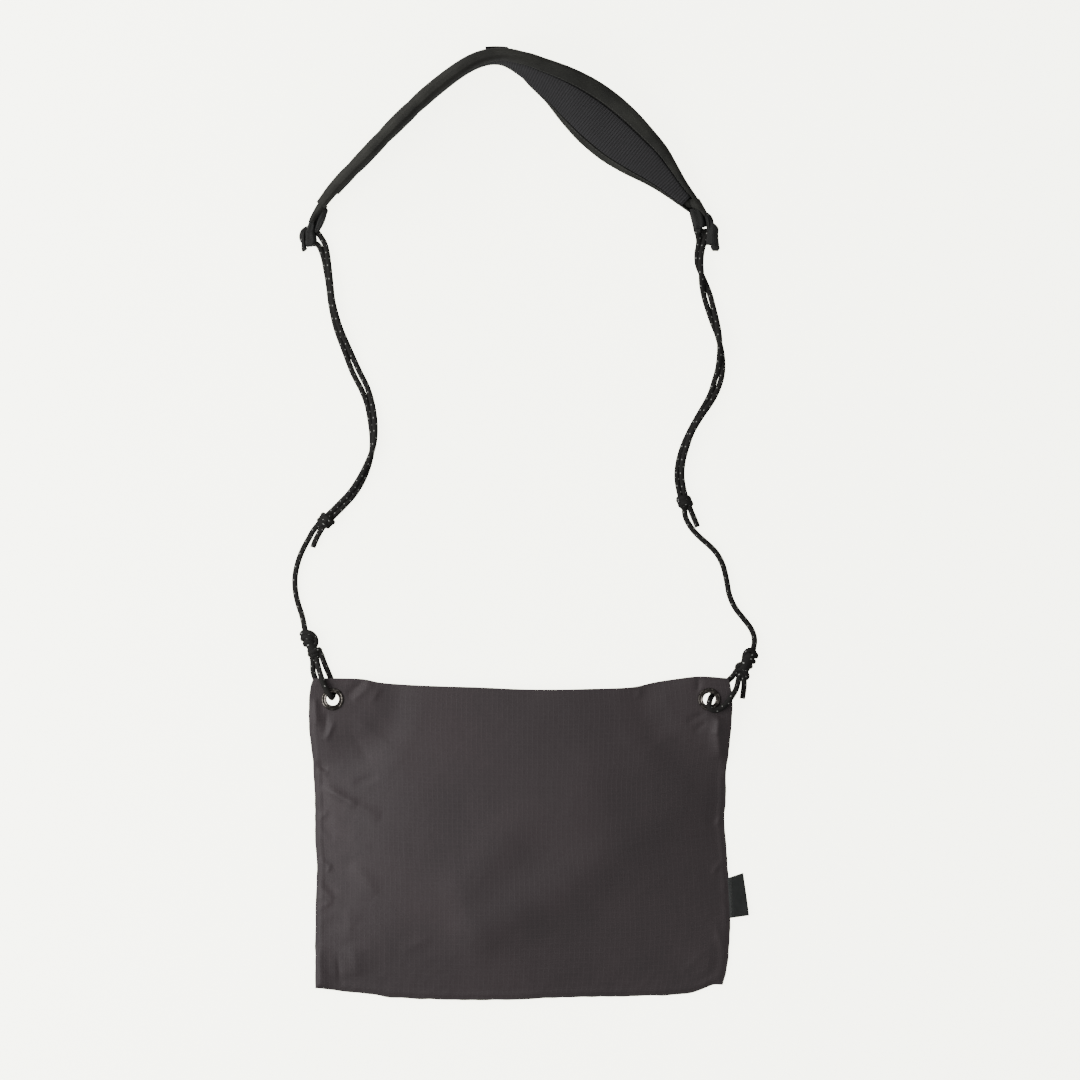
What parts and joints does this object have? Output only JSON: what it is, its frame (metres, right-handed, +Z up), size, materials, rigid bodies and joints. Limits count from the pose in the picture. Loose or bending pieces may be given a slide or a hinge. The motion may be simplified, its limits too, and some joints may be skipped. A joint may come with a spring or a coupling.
{
  "type": "cycling musette bag",
  "caption": "Light cloth shoulder bag for cycling: a flat ripstop sack with an open mouth, metal corner eyelets, a thin cord strap and a curved padded shoulder piece",
  "frame": {"origin": "on the surface that the bag lies on, under the middle of the sack's back", "axes": "+Y from the sack to the shoulder pad, +X to the right as seen from above, +Z up from the surface"},
  "size_m": [0.3719, 0.7617, 0.0485],
  "materials": {
    "ripstop": "thin ripstop cloth, faint small grid",
    "cord": "round braid with pale flecks",
    "pad_binding": "matte bound cloth",
    "air_mesh": "open spacer mesh",
    "eyelet_metal": "dark polished gunmetal",
    "webbing": "flat woven webbing",
    "ribbon": "smooth folded ribbon, blank"
  },
  "bodies": {
    "root": {"bag_front_panel": "ripstop", "bag_back_panel": "ripstop", "eyelet_left": "eyelet_metal", "eyelet_right": "eyelet_metal", "side_tab": "ribbon", "shoulder_pad": "pad_binding", "pad_mesh_panel": "air_mesh", "pad_label": "ribbon", "webbing_loop_left": "webbing", "webbing_loop_right": "webbing", "cord_left_double": "cord", "cord_right_double": "cord", "cord_left_single": "cord", "cord_right_single": "cord", "cord_left_end": "cord", "cord_right_end": "cord", "cord_left_eyelet": "cord", "cord_right_eyelet": "cord", "cord_left_spare": "cord", "cord_right_spare": "cord", "knot_left_slide": "cord", "knot_right_slide": "cord", "knot_left_eyelet": "cord", "knot_right_eyelet": "cord"}
  },
  "joints": []
}
